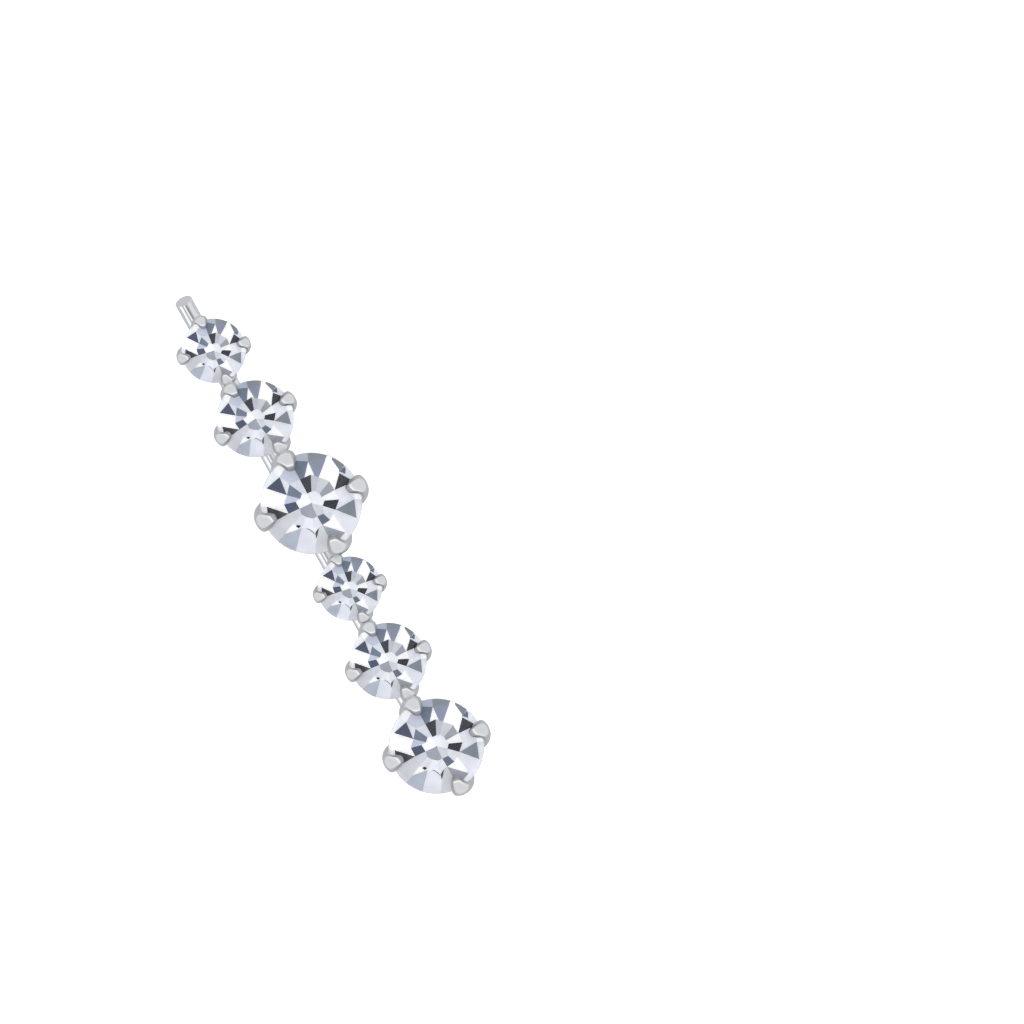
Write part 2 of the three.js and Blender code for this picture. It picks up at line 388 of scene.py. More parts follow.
def crown_height(points, sizes):
    """Height of the crown above a point, without its upper halves: the lowest of the table, the eight main
    planes, which fall from the table's corners to the girdle, and the eight star planes, which fall from the
    table's sides."""
    corner = math.radians(TABLE_CORNER)
    edge = sizes.girdle / 2
    angle = np.arctan2(points[:, 1], points[:, 0])[:, None]
    out = np.hypot(points[:, 0], points[:, 1])[:, None]
    eighths = np.arange(8) * 2 * HALF
    mains = edge + sizes.crown * (1 - out * np.cos(angle - corner - eighths)) / (1 - sizes.table)
    star_top = sizes.table * math.cos(HALF)
    star_foot = edge + sizes.crown * (1 - sizes.star * math.cos(HALF)) / (1 - sizes.table)
    fall = (edge + sizes.crown - star_foot) / (sizes.star - star_top)
    stars = edge + sizes.crown - fall * (out * np.cos(angle - corner - HALF - eighths) - star_top)
    return np.minimum(np.minimum(mains.min(axis=1), stars.min(axis=1)), edge + sizes.crown)


def girdle_ring(sizes, up):
    """The girdle as a ring of points at radius 1, a few to each half sector."""
    count = 16 * sizes.arc_steps
    return polar(math.radians(TABLE_CORNER) + np.arange(count) * 2 * math.pi / count, 1.0, up)


def girdle_run(j, start, steps):
    """Numbers of the girdle's points along half sector j, both ends included."""
    return [start + (j * steps + step) % (16 * steps) for step in range(steps + 1)]


def starts(*rings):
    """Where each ring of points after the first starts when all are laid one after another, and their end."""
    return np.cumsum([len(ring) for ring in rings]).tolist()


def skin_shape(sizes):
    """The clear stone: table, stars, kites and upper halves above the girdle, kites and lower halves below
    it, each a flat face on its own corner points."""
    corner = math.radians(TABLE_CORNER)
    eighths = corner + np.arange(8) * 2 * HALF
    edge, steps = sizes.girdle / 2, sizes.arc_steps
    table = polar(eighths, sizes.table, edge + sizes.crown)
    star = polar(eighths + HALF, sizes.star, 0.0)
    star[:, 2] = crown_height(star, sizes)
    lower = polar(eighths + HALF, sizes.lower, -edge - sizes.pavilion * (1 - sizes.lower * math.cos(HALF)))
    point = np.array([[0, 0, -edge - sizes.pavilion]])
    upper_ring, lower_ring = girdle_ring(sizes, edge), girdle_ring(sizes, -edge)
    points = np.concatenate([table, star, lower, point, upper_ring, lower_ring])
    star_at, lower_at, point_at, above = starts(table, star, lower, point)
    below = above + 16 * steps
    faces = [list(range(8))]
    for k in range(8):
        after, before = (k + 1) % 8, (k - 1) % 8
        faces.append([k, star_at + k, after])
        faces.append([k, star_at + before, girdle_run(2 * k, above, steps)[0], star_at + k])
        faces.append([star_at + k, *girdle_run(2 * k, above, steps)])
        faces.append([star_at + k, *girdle_run(2 * k + 1, above, steps)])
        faces.append([point_at, lower_at + k, girdle_run(2 * k, below, steps)[0], lower_at + before])
        faces.append([lower_at + k, *girdle_run(2 * k, below, steps)[::-1]])
        faces.append([lower_at + k, *girdle_run(2 * k + 1, below, steps)[::-1]])
    count = 16 * steps
    faces += [[below + i, below + (i + 1) % count, above + (i + 1) % count, above + i] for i in range(count)]
    return points, faces


def bent_ring(lines, ring):
    """A ring of corners at the lines' own directions, each turned on and set out as the ring says."""
    degrees, out = np.array(ring).T
    return polar(lines + np.radians(degrees), out, 0.0)


def fleck_shape(corners, sizes):
    """A thin plate just under the crown_height of its corners, with two lids that are split alike, straight
    across, and a wall round its edge."""
    degrees, out = np.array(corners).T
    lid = polar(np.radians(degrees), out, 0.0)
    lid[:, 2] = crown_height(lid, sizes) - FLECK_DIP
    count = len(corners)
    strips = [[i, i + 1, count - 2 - i, count - 1 - i] for i in range(count // 2 - 1)]
    above = [[count + corner for corner in strip] for strip in strips]
    below = [[strip[0], *strip[:0:-1]] for strip in strips]
    wall = [[i, (i + 1) % count, count + (i + 1) % count, count + i] for i in range(count)]
    return np.concatenate([lid - [0, 0, FLECK_THICK], lid]), above + below + wall


def facet_shape(sizes):
    """The facets just inside the skin, coloured with painted reflections and shade, and the tone of each: a
    shallow funnel under the table, then rings of cells on the crown's own height, a rim along the girdle and
    a cone behind. The flecks come last, each a shell of its own."""
    lines = math.radians(TABLE_CORNER) + np.arange(16) * HALF
    edge, steps = sizes.girdle / 2, sizes.arc_steps
    inner = bent_ring(lines, HEART_RING)
    table = bent_ring(lines, TABLE_RING)
    knees = bent_ring(lines[1::2], MAIN_RING)
    tips = polar(lines[0::2], KITE_TIPS, 0.0)
    halves = np.arange(16)
    corners, sides = (halves + 1) // 2 * 2 % 16, halves // 2 * 2 + 1
    split = np.array(STAR_SPLIT)[:, None]
    stars = table[corners] * (1 - split) + table[sides] * split
    table_at, star_at, knee_at, tip_at, above = starts(inner, table, stars, knees, tips)
    crown = np.concatenate([inner, table, stars, knees, tips])
    crown[:, 2] = crown_height(crown, sizes)
    crown[:table_at, 2] -= HEART_DIP
    rim, under = girdle_ring(sizes, edge), girdle_ring(sizes, -edge)
    ends = np.array([[0, 0, HEART_HEIGHT], [0, 0, -edge - sizes.pavilion]])
    points = np.concatenate([crown, rim, under, ends])
    points *= 1 - sizes.skin
    points[:above, 2] -= CELL_DIP
    below = above + 16 * steps
    middle, point = below + 16 * steps, below + 16 * steps + 1
    faces, letters = [], []
    for j in range(16):
        after = (j + 1) % 16
        corner, side = table_at + corners[j], table_at + sides[j]
        star, knee, tip = star_at + j, knee_at + j // 2, tip_at + corners[j] // 2
        run = girdle_run(j, above, steps)
        outer = [[corner, knee, star], [star, knee, side], [corner, tip, knee]]
        if j % 2:
            outer = [cell[::-1] for cell in outer] + [[knee, *run, tip]]
        else:
            outer = outer + [[tip, *run, knee]]
        inside = [[middle, j, after], [j, table_at + j, star, table_at + after, after]]
        faces += [*inside, *outer, [point, *girdle_run(j, below, steps)[::-1]]]
        letters += [HEART_TONES[j], TABLE_TONES[j], STAR_OUTER_TONES[j], STAR_INNER_TONES[j], KITE_TONES[j],
                    RIM_TONES[j], BACK_TONES[j]]
    count = 16 * steps
    faces += [[below + i, below + (i + 1) % count, above + (i + 1) % count, above + i] for i in range(count)]
    letters += ["p"] * count
    shells = [(points, faces)]
    for letter, outline in FLECKS:
        shells.append(fleck_shape(outline, sizes))
        letters += [letter] * len(shells[-1][1])
    points, faces = joined(shells)
    return points, faces, letters


def make_stone(number, place, axes):
    """One stone: facets coloured with painted reflections and shade, inside a clear skin."""
    sizes = bpy.context.scene.climber_stone
    node = STONES[number]
    place = fitted(number, place)
    points, faces, letters = facet_shape(sizes)
    facets = bpy.data.meshes.new(f"{node}_facets")
    facets.from_pydata(placed(points, place, axes).tolist(), [], faces)
    layer = facets.attributes.new("tone", "FLOAT_COLOR", "FACE")
    layer.data.foreach_set("color", np.concatenate([tone(letter) for letter in letters]).astype(np.float32))
    facets.update()
    add_piece(f"{node}_facets", facets, bpy.data.materials["facets_with_painted_light"], node)
    points, faces = skin_shape(sizes)
    skin = mesh_of(f"{node}_skin", placed(points, place, axes), faces, STONE_SHARP)
    add_piece(f"{node}_skin", skin, bpy.data.materials["clear_crystal"], node)


# ------------------------------------------------------------------ settings

# A claw's head from straight in front, in fourteen spokes: from its tip over the stone, round the side away
# from its shoulder, then the outside, the shoulder's point and back. Each has the face's edge and the rim as
# distance out from the stone's axis and distance sideways, the heights of the rim and of the foot under it,
# and two painted brightnesses of the metal's colour: on the face's edge, a painted white highlight on the
# stone's side and painted shade elsewhere, and painted shade on the fall below it to the rim.
CLAW_SPOKES = [
    (0.832, -0.066, 0.722, -0.048, 0.280, 0.205, 1.26, 0.48),
    (0.868, -0.088, 0.788, -0.106, 0.270, 0.180, 0.80, 0.60),
    (0.940, -0.110, 0.884, -0.172, 0.230, 0.110, 0.80, 0.66),
    (1.038, -0.124, 1.036, -0.212, 0.180, 0.140, 0.82, 0.78),
    (1.088, -0.094, 1.112, -0.172, 0.170, 0.150, 0.82, 0.86),
    (1.118, -0.036, 1.164, -0.056, 0.170, 0.150, 0.82, 0.88),
    (1.126, 0.040, 1.172, 0.060, 0.170, 0.150, 0.82, 0.88),
    (1.110, 0.102, 1.156, 0.166, 0.160, 0.140, 0.82, 0.85),
    (1.078, 0.144, 1.078, 0.290, 0.080, 0.060, 0.82, 0.84),
    (1.052, 0.152, 0.916, 0.392, 0.030, 0.015, 0.82, 0.80),
    (1.026, 0.146, 0.965, 0.245, 0.120, 0.030, 0.88, 0.70),
    (0.988, 0.126, 0.958, 0.172, 0.240, 0.055, 1.00, 0.54),
    (0.930, 0.086, 0.852, 0.122, 0.270, 0.125, 1.12, 0.48),
    (0.868, 0.050, 0.750, 0.070, 0.280, 0.185, 1.28, 0.46),
]
CLAW_FACE = 0.37  # height of the face's middle
CLAW_DOME = 0.012  # how far the face falls to its edge
CLAW_BEVEL = 0.008  # width of the bevel along the face's edge
CLAW_FALL = 0.45  # how steeply the bevel falls
CLAW_TUCK = 0.006  # how far the foot lies inside the rim
CLAW_CLEAR = 1.010  # how near a claw comes to the stone's axis at the girdle
CLAW_CLEAR_EASE = 0.015  # distance over which a claw gives way there
# The claw's neck, from its foot in to its stem: share of the foot's bearing, then how far it lies in from
# the foot, and its height, each beside the stone and where the claw reaches over it.
CLAW_NECK = [(1.0, (0.0, 0.0), (-0.05, 0.035)), (1.0, (0.01, 0.0), (-0.07, -0.07)),
             (0.85, (0.04, 0.04), (-0.20, -0.20))]
# Painted shade over the claws' necks and stems, and over the whole cup.
STEM_PAINTED_SHADE = 0.92
CUP_PAINTED_SHADE = 0.80
# Over the face: share of the way out to its edge, its painted brightness, and what share of the edge's
# painted brightness comes on top.
CLAW_DOMED = [(0.02, 0.88, 0.0), (0.4, 0.89, 0.0), (0.75, 0.91, 0.0), (0.93, 0.62, 0.3), (1.0, 0.0, 1.0)]
# From the bevel to the rim: share of the way out and share of the way down.
CLAW_ROUND = [(0.15, 0.10), (0.35, 0.26), (0.55, 0.44), (0.75, 0.64), (0.90, 0.84), (0.97, 0.94), (1.0, 1.0)]
# The claw's stem behind the rim: distance out of its middle, half depth, half width and height.
CLAW_STEM = [(1.050, 0.085, 0.160, -0.30), (0.985, 0.088, 0.158, -0.40), (0.910, 0.090, 0.150, -0.50),
             (0.800, 0.086, 0.135, -0.64), (0.720, 0.080, 0.120, -0.75), (0.665, 0.060, 0.090, -0.83),
             (0.640, 0.012, 0.018, -0.87)]

# The cup's wall, from the edge of the hole in its back, up the outside, over the rim and down the inside.
CUP_ROWS = [
    (0.18, -1.15), (0.45, -1.15), (0.50, -1.13), (0.90, -0.52), (0.96, -0.44), (0.96, -0.26), (0.93, -0.22),
    (0.74, -0.22), (0.80, -0.46), (0.42, -0.97), (0.38, -0.99), (0.18, -0.99), (0.16, -1.07), (0.18, -1.15),
]


def claw_shape(angle, way, sides):
    """One claw as a closed skin of rings, each round the one before: over the domed face to its edge, down
    the bevel, round over the rim to its foot, back to the girdle, and down a stem of oval section. Its
    shoulder is on the side that way says. Also the painted highlight and shade at each point."""
    spokes = looped(CLAW_SPOKES, sides, 2)
    edge, rim, rim_height, foot, crease_painted_light, slope_painted_shade = spokes[:, 0:2], spokes[:, 2:4], *spokes[:, 4:].T
    centre = edge.mean(axis=0)
    rings, shades = [], []

    def add_ring(plan, height, shade):
        """Adds a ring: its plan, and a height and a painted brightness for all of it or for each of its
        points.
        """
        rings.append(np.column_stack([plan, np.broadcast_to(height, sides)]))
        shades.append(np.broadcast_to(shade, sides))

    for share, own, taken in CLAW_DOMED:
        add_ring(centre + share * (edge - centre), CLAW_FACE - CLAW_DOME * share**2, own + taken * crease_painted_light)
    outward = (rim - edge) / np.linalg.norm(rim - edge, axis=1)[:, None]
    bevel = edge + CLAW_BEVEL * outward
    bevel_height = CLAW_FACE - CLAW_DOME - CLAW_BEVEL * CLAW_FALL
    add_ring(bevel, bevel_height, crease_painted_light)
    for out, down in CLAW_ROUND:
        shade = crease_painted_light + min(out / 0.2, 1) * (slope_painted_shade - crease_painted_light)
        add_ring(bevel + out * (rim - bevel), bevel_height + down * (rim_height - bevel_height), shade)
    add_ring(rim - CLAW_TUCK * outward, foot, slope_painted_shade)
    at, out = np.arctan2(rim[:, 1], rim[:, 0]), np.hypot(rim[:, 0], rim[:, 1])
    over = np.clip((CLAW_CLEAR - out) / CLAW_CLEAR_EASE, 0, 1)
    out = np.maximum(out, CLAW_CLEAR)
    for share, inset, height in CLAW_NECK:
        plan = polar(at * share, out - np.interp(over, (0, 1), inset), 0.0)[:, :2]
        add_ring(plan, np.interp(over, (0, 1), height), STEM_PAINTED_SHADE)
    turn = math.pi + np.arange(sides) * 2 * math.pi / sides
    for middle, deep, wide, height in CLAW_STEM:
        add_ring(np.column_stack([middle + deep * np.cos(turn), wide * np.sin(turn)]), height, STEM_PAINTED_SHADE)
    turned = np.array([[math.cos(angle), math.sin(angle), 0],
                       [-way * math.sin(angle), way * math.cos(angle), 0], [0, 0, 1]])
    faces = ring_faces(len(rings), sides)
    if way > 0:
        faces = [face[::-1] for face in faces]
    return np.concatenate(rings) @ turned, faces, np.concatenate(shades)


def cup_shape(sides):
    """The cup: its wall's outline, with the corners eased, turned once round the stone's axis."""
    rows = eased(CUP_ROWS, 120, 2)[:-1]
    count = len(rows)
    turn = np.arange(sides) * 2 * math.pi / sides
    points = polar(turn[:, None], rows[None, :, 0], rows[None, :, 1]).reshape(-1, 3)
    column, row = np.arange(sides)[:, None] * count, np.arange(count)[None, :]
    after, below = (column + count) % (sides * count), (row + 1) % count
    quads = np.stack([column + row, after + row, after + below, column + below], axis=-1)
    return points, quads.reshape(-1, 4).tolist()


def make_setting(number, place, axes):
    """One setting: a cup and four claws, whose shoulders face each other two by two."""
    sizes = bpy.context.scene.climber_setting
    place = fitted(number, place, CLAW_TURN[number])
    parts = [cup_shape(sizes.cup_sides)]
    # Painted shade over the whole cup, darker than the claws' faces.
    shades = [np.full(len(parts[0][0]), CUP_PAINTED_SHADE)]
    for claw, degrees in enumerate(CLAW_ANGLES):
        angle = math.radians(degrees)
        way = 1 if claw % 2 == 0 else -1
        claw_points, claw_faces, shade = claw_shape(angle, way, sizes.claw_sides)
        parts.append((claw_points, claw_faces))
        shades.append(shade)
    points, faces = joined(parts)
    mesh = mesh_of(f"setting_{number + 1}", placed(points, place, axes), faces, METAL_SHARP)
    keep_painted_shade(mesh, np.concatenate(shades))
    add_piece(f"setting_{number + 1}", mesh, bpy.data.materials["polished_silver"], METAL)


# ------------------------------------------------------------------ ear wire and rail

# Drawing lines and painted bands along the wire: degrees round from its front towards across, half width in
# degrees, depth as a share of the groove's property, and its painted brightness, a painted highlight above 1
# and painted shade below it.
DRAWING_LINES_AND_PAINTED_BANDS = [
    (-75, 22, 0.0, 0.96), (-34, 7.5, 0.0, 1.24), (-20, 5.5, 0.25, 0.58), (-10.5, 4, 0.0, 1.24),
    (2, 8.5, 0.0, 0.70), (14.5, 3.8, 0.3, 0.80), (35, 15, 0.0, 0.88), (75, 22, 0.0, 1.12), (112, 3, 0.8, 0.8),
    (131, 3, 0.5, 0.8), (166, 5, 0.9, 0.7), (-151, 5, 0.5, 0.75), (-118, 3, 0.7, 0.8),
]
# Painted highlight, a little brighter than the metal's colour, on a wire's two flat ends.
END_PAINTED_HIGHLIGHT = 1.02  # on a wire's two flat ends
END_STEPS = 6  # rings in the rounding of an end
WIRE_ROUND = 0.03 * MM  # rounding of the ear wire's cut edges
RAIL_ROUND = 1 / 2.2  # rounding of the rail's ends, in rail diameters
RISE_STEPS, BEND_STEPS, RUN_STEPS = 16, 40, 60  # points along the ear wire's parts
RAIL_STEPS = 161  # points along the rail


def wire_path(places, axes):
    """The ear wire's centre line: straight back from the lowest setting, a quarter turn, straight up behind
    the row while it loses its drift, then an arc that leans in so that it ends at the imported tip."""
    sizes = bpy.context.scene.climber_wire
    along, across, front = axes
    centre, radius, _ = places[-1]
    foot = centre - bpy.context.scene.climber_setting.back * radius * front
    tip = np.array(next(m["pos_m"] for m in frame["record"]["mounts"] if m["name"] == WIRE_TIP))
    behind = (foot - tip) @ front
    origin = tip + behind * front
    reach = (foot - origin) @ along
    depth = sizes.rail / 2 + sizes.gap + sizes.wire / 2
    bend, lean = sizes.bend, sizes.lean
    angle = 2 * math.atan((depth - behind) / lean)
    arc = lean / math.sin(angle)
    quarter = np.linspace(0, math.pi / 2, BEND_STEPS)
    swing = math.pi / 2 + np.linspace(0, angle, BEND_STEPS)
    rise = np.linspace(-sizes.rail / 2, depth - bend, RISE_STEPS)
    run = np.linspace(reach - bend, lean, RUN_STEPS)
    flat = np.concatenate([
        np.stack([np.full_like(rise, reach), rise], axis=1)[:-1],
        np.stack([reach - bend + bend * np.cos(quarter), depth - bend + bend * np.sin(quarter)], axis=1)[:-1],
        np.stack([run, np.full_like(run, depth)], axis=1)[:-1],
        np.stack([lean + arc * np.cos(swing), depth - arc + arc * np.sin(swing)], axis=1),
    ])
    return origin + flat[:, :1] * (along - sizes.drift / reach * across) - flat[:, 1:] * front


def rail_path(places, axes):
    """The rail's centre line, from the lowest setting up: a smooth curve through the middle of each
    setting's back."""
    front = axes[2]
    back = bpy.context.scene.climber_setting.back
    knots = np.array([centre - back * radius * front for centre, radius, _ in places[::-1]])
    knots = np.vstack([2 * knots[0] - knots[1], knots, 2 * knots[-1] - knots[-2]])
    at = np.linspace(0, 5, RAIL_STEPS)
    first = np.minimum(at.astype(int), 4)
    u = (at - first)[:, None]
    a, b, c, d = (knots[first + step] for step in range(4))
    return 0.5 * (2 * b + (c - a) * u + (2 * a - 5 * b + 4 * c - d) * u**2 + (3 * b - a - 3 * c + d) * u**3)


def drawn_shape(path, across, radius, groove, edge, sides=192):
    """A drawn wire: a circle carried along a path, square to it, less the drawing lines, each a smooth hollow
    of cosine section. Each end is rounded over by a quarter circle of the edge's size. Also the painted
    highlight and shade at each point: the product of the bands' own, each flat in its middle and soft at its
    edges."""
    steps = np.gradient(path, axis=0)
    forward = steps / np.linalg.norm(steps, axis=1)[:, None]
    travelled = np.concatenate([[0], np.cumsum(np.linalg.norm(np.diff(path, axis=0), axis=1))])
    swing = np.linspace(0, math.pi / 2, END_STEPS)
    inset = edge * (1 - np.sin(swing))
    at = np.concatenate([edge - edge * np.cos(swing),
                         travelled[(travelled > 1.5 * edge) & (travelled < travelled[-1] - 1.5 * edge)],
                         travelled[-1] - edge + edge * np.cos(swing[::-1])])
    shrink = np.zeros(len(at))
    shrink[:END_STEPS], shrink[-END_STEPS:] = inset, inset[::-1]
    middle = np.stack([np.interp(at, travelled, column) for column in path.T], axis=1)
    heading = np.stack([np.interp(at, travelled, column) for column in forward.T], axis=1)
    out = np.cross(across, heading)
    turn = np.arange(sides) * 2 * math.pi / sides
    degrees = (np.degrees(turn) + 180) % 360 - 180
    hollow, shade = np.zeros(sides), np.ones(sides)
    for place, width, depth, painted_brightness in DRAWING_LINES_AND_PAINTED_BANDS:
        near = np.abs((degrees - place + 180) % 360 - 180) / width
        hollow += depth * groove * np.where(near < 1, (1 + np.cos(math.pi * near)) / 2, 0)
        shade *= 1 + (painted_brightness - 1) * np.exp(-near**6)
    size = radius - shrink[:, None] - hollow[None, :]
    points = (middle[:, None, :] + size[..., None] * (np.cos(turn)[None, :, None] * out[:, None, :]
              + np.sin(turn)[None, :, None] * across[None, None, :]))
    shade = np.tile(shade, (len(at), 1))
    shade[:2], shade[-2:] = END_PAINTED_HIGHLIGHT, END_PAINTED_HIGHLIGHT
    return points.reshape(-1, 3), ring_faces(len(at), sides), shade.ravel()


def make_drawn(name, path, axes, diameter, groove, edge):
    """A drawn wire as a piece, with its painted highlights and shade."""
    points, faces, shade = drawn_shape(path, axes[1], diameter / 2, groove, edge)
    mesh = mesh_of(name, points, faces, METAL_SHARP)
    keep_painted_shade(mesh, shade)
    add_piece(name, mesh, bpy.data.materials["drawn_silver"], METAL)


# ------------------------------------------------------------------ finishes

MIX_FIRST, MIX_SECOND, MIX_RESULT = 6, 7, 2  # a Mix node's colour sockets
# Painted glow: each facet gives off a share of its painted tone, which the claws' shade doesn't reach.
FACET_PAINTED_GLOW = 0.52  # how much of its tone a facet gives off itself


def add_node(tree, kind, place, **settings):
    """A node in a tree, set up by its properties and, where a name is a socket's, by that input's value."""
    node = tree.nodes.new(kind)
    node.location = place
    for key, value in settings.items():
        if hasattr(node, key):
            setattr(node, key, value)
        else:
            node.inputs[key].default_value = value
    return node


def set_inputs(node, values):
    """Gives a node's inputs their values, by socket name or number."""
    for socket, value in values.items():
        node.inputs[socket].default_value = value


def polish_group():
    """Hand polish, for every metal: a faint cloudiness of the colour, roughness that varies with it, and
    fine crossing wipe lines as a height. Inputs are the metal's own colour and how much of each."""
    tree = bpy.data.node_groups.new("hand_polish", "ShaderNodeTree")
    face = tree.interface
    face.new_socket("Color", in_out="INPUT", socket_type="NodeSocketColor")
    for name, value in (("Cloud", 0.06), ("Roughness", 0.12), ("Wear", 0.06)):
        socket = face.new_socket(name, in_out="INPUT", socket_type="NodeSocketFloat")
        socket.default_value = value
    face.new_socket("Color", in_out="OUTPUT", socket_type="NodeSocketColor")
    face.new_socket("Roughness", in_out="OUTPUT", socket_type="NodeSocketFloat")
    face.new_socket("Height", in_out="OUTPUT", socket_type="NodeSocketFloat")
    link = tree.links.new
    given = add_node(tree, "NodeGroupInput", (-900, 0))
    put = add_node(tree, "NodeGroupOutput", (600, 0))
    spot = add_node(tree, "ShaderNodeTexCoord", (-900, -300))
    cloud = add_node(tree, "ShaderNodeTexNoise", (-650, 100), Scale=1800.0, Detail=3.0)
    stretch = add_node(tree, "ShaderNodeMapping", (-650, -300), Scale=(1.0, 1.0, 7.0),
                       Rotation=(0.4, 0.7, 0.2))
    wipe = add_node(tree, "ShaderNodeTexNoise", (-400, -300), Scale=14000.0, Detail=4.0, Roughness=0.7)
    link(spot.outputs["Object"], cloud.inputs["Vector"])
    link(spot.outputs["Object"], stretch.inputs["Vector"])
    link(stretch.outputs["Vector"], wipe.inputs["Vector"])
    fade = add_node(tree, "ShaderNodeMath", (-400, 150), operation="MULTIPLY")
    keep = add_node(tree, "ShaderNodeMath", (-200, 150), operation="SUBTRACT")
    set_inputs(keep, {0: 1.0})
    tint = add_node(tree, "ShaderNodeVectorMath", (100, 150), operation="SCALE")
    link(cloud.outputs["Fac"], fade.inputs[0])
    link(given.outputs["Cloud"], fade.inputs[1])
    link(fade.outputs[0], keep.inputs[1])
    link(given.outputs["Color"], tint.inputs[0])
    link(keep.outputs[0], tint.inputs["Scale"])
    link(tint.outputs[0], put.inputs["Color"])
    rough = add_node(tree, "ShaderNodeMath", (100, -80), operation="MULTIPLY_ADD")
    link(cloud.outputs["Fac"], rough.inputs[0])
    link(given.outputs["Wear"], rough.inputs[1])
    link(given.outputs["Roughness"], rough.inputs[2])
    link(rough.outputs[0], put.inputs["Roughness"])
    link(wipe.outputs["Fac"], put.inputs["Height"])


def new_material(name):
    """A material with an empty Principled shader, its tree and that shader."""
    material = bpy.data.materials.new(name)
    material.use_nodes = True
    return material, material.node_tree, material.node_tree.nodes["Principled BSDF"]


def polished(name, cloud, roughness):
    """A polished silver material whose colour carries the painted highlights and shade of the piece's own
    attribute.
    """
    silver = bpy.context.scene.climber_colours.silver
    _, tree, shader = new_material(name)
    link = tree.links.new
    set_inputs(shader, {"Metallic": 1.0})
    polish = add_node(tree, "ShaderNodeGroup", (-500, 100))
    polish.node_tree = bpy.data.node_groups["hand_polish"]
    set_inputs(polish, {"Color": silver, "Cloud": cloud, "Roughness": roughness, "Wear": 0.05})
    bump = add_node(tree, "ShaderNodeBump", (-250, -200), Strength=0.10, Distance=0.004 * MM)
    link(polish.outputs["Height"], bump.inputs["Height"])
    link(bump.outputs["Normal"], shader.inputs["Normal"])
    link(polish.outputs["Roughness"], shader.inputs["Roughness"])
    # Painted highlights and shade: the metal's colour scaled by the shade attribute.
    shade = add_node(tree, "ShaderNodeAttribute", (-500, 350), attribute_name="shade")
    painted_shading = add_node(tree, "ShaderNodeVectorMath", (-250, 250), operation="SCALE")
    link(polish.outputs["Color"], painted_shading.inputs[0])
    link(shade.outputs["Fac"], painted_shading.inputs["Scale"])
    link(painted_shading.outputs[0], shader.inputs["Base Color"])


def make_finishes():
    """All materials of the climber, once."""
    if "polished_silver" in bpy.data.materials:
        return
    polish_group()
    polished("polished_silver", 0.06, 0.26)
    polished("drawn_silver", 0.05, 0.09)

    _, _, shader = new_material("clear_crystal")
    set_inputs(shader, {"Base Color": (1, 1, 1, 1), "Roughness": 0.0, "IOR": 1.5, "Transmission Weight": 1.0})

    # Painted reflections and shade on the facets: each facet's tone, varied a little at random, as its colour
    # and as its glow.
    _, tree, shader = new_material("facets_with_painted_light")
    link = tree.links.new
    set_inputs(shader, {"Specular IOR Level": 0.0, "Emission Strength": FACET_PAINTED_GLOW, "Roughness": 0.5})
    cells = add_node(tree, "ShaderNodeAttribute", (-700, 100), attribute_name="tone")
    spot = add_node(tree, "ShaderNodeTexCoord", (-900, -200))
    veil = add_node(tree, "ShaderNodeTexNoise", (-700, -200), Scale=1500.0, Detail=2.0)
    depth = add_node(tree, "ShaderNodeMapRange", (-450, -200))
    set_inputs(depth, {"From Min": 0.3, "From Max": 0.7, "To Min": 0.90, "To Max": 1.04})
    shade = add_node(tree, "ShaderNodeVectorMath", (-200, 100), operation="SCALE")
    link(spot.outputs["Object"], veil.inputs["Vector"])
    link(veil.outputs["Fac"], depth.inputs["Value"])
    link(cells.outputs["Color"], shade.inputs[0])
    link(depth.outputs["Result"], shade.inputs["Scale"])
    link(shade.outputs[0], shader.inputs["Base Color"])
    link(shade.outputs[0], shader.inputs["Emission Color"])


# ------------------------------------------------------------------ floor, light and camera

FLOOR_GRAIN = 0.995  # brightness of the floor's darkest grain
# The studio that polished metal mirrors.
FRONT_WALL = (0.912, 0.936, 0.951)
PANELS = (1.02, 1.03, 1.06)
GREY_WALLS = (0.66, 0.675, 0.705)
# Where one goes over into the next: the cosine of the angle from straight in front or from the row's line.
FRONT_EDGE = (0.90, 0.965)
END_EDGE = (0.75, 0.97)
BACK_EDGE = (-0.25, -0.05)


def make_floor(stage):
    """A plain pale floor under the climber, with a very faint grain."""
    half = stage.floor_side / 2
    mesh = bpy.data.meshes.new("floor")
    corners = [(-half, -half, 0), (half, -half, 0), (half, half, 0), (-half, half, 0)]
    mesh.from_pydata(corners, [], [[0, 1, 2, 3]])
    floor = bpy.data.objects.new("floor", mesh)
    bpy.context.scene.collection.objects.link(floor)
    floor.visible_glossy = False
    material, tree, shader = new_material("pale_floor")
    link = tree.links.new
    set_inputs(shader, {"Specular IOR Level": 0.0, "Roughness": 1.0})
    spot = add_node(tree, "ShaderNodeTexCoord", (-900, 0))
    grain = add_node(tree, "ShaderNodeTexNoise", (-700, 0), Scale=300.0, Detail=2.0)
    mix = add_node(tree, "ShaderNodeMix", (-300, 0), data_type="RGBA")
    colour = np.array(bpy.context.scene.climber_colours.floor)[:3]
    set_inputs(mix, {MIX_FIRST: (*(colour * FLOOR_GRAIN), 1), MIX_SECOND: (*colour, 1)})
    link(spot.outputs["Object"], grain.inputs["Vector"])
    link(grain.outputs["Fac"], mix.inputs[0])
    link(mix.outputs[MIX_RESULT], shader.inputs["Base Color"])
    link(mix.outputs[MIX_RESULT], shader.inputs["Emission Color"])
    path = add_node(tree, "ShaderNodeLightPath", (-500, -300))
    glow = add_node(tree, "ShaderNodeMath", (-300, -300), operation="MULTIPLY")
    set_inputs(glow, {1: stage.floor_glow})
    link(path.outputs["Is Camera Ray"], glow.inputs[0])
    link(glow.outputs[0], shader.inputs["Emission Strength"])
    mesh.materials.append(material)


